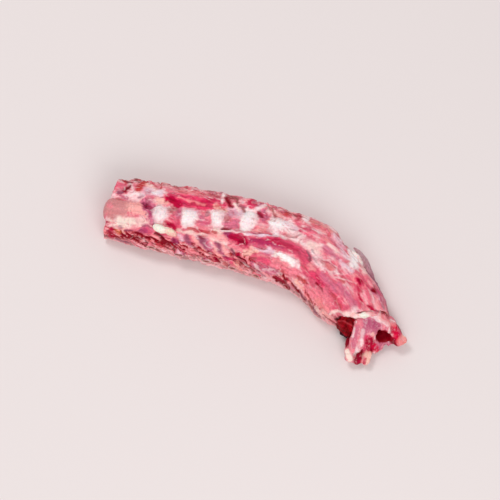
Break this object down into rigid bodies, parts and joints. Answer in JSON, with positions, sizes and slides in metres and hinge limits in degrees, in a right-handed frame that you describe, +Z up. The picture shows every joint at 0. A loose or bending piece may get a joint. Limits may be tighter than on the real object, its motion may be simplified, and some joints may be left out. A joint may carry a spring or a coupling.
{
  "type": "raw lamb backbone with neck",
  "caption": "Raw lamb backbone with the neck on it, vertebral bodies up: a curved strip of red flesh with a row of bare vertebrae, sawn rib stubs and the atlas at one end.",
  "frame": {"origin": "middle of the box at the surface that the piece lies on", "axes": "+Z up, away from the surface; +X along the piece, from the sawn end of the back towards the neck; +Y to the far, rounded side of the bend"},
  "size_m": [0.2772, 0.1783, 0.0462],
  "materials": {
    "flesh": "raw red muscle with pale fascia and fat, moist",
    "bone": "fresh bone under a thin pink membrane, moist",
    "end_bone": "smooth pale pink end of a vertebra, moist",
    "cartilage": "white cartilage, glossy"
  },
  "bodies": {
    "root": {"vertebra_1": "end_bone", "vertebra_2": "bone", "vertebra_3": "bone", "vertebra_4": "bone", "vertebra_5": "bone", "vertebra_6": "bone", "vertebra_7": "bone", "disc_1": "cartilage", "disc_2": "cartilage", "disc_3": "cartilage", "disc_4": "cartilage", "disc_5": "cartilage", "disc_6": "cartilage", "disc_7": "cartilage", "rib_far_1": "bone", "rib_far_2": "bone", "rib_far_3": "bone", "rib_far_4": "bone", "rib_far_5": "bone", "rib_far_6": "bone", "rib_near_1": "bone", "rib_near_2": "bone", "rib_near_3": "bone", "rib_near_4": "bone", "rib_near_5": "bone", "cartilage_knob": "cartilage", "atlas": "bone", "flesh": "flesh"}
  },
  "joints": []
}
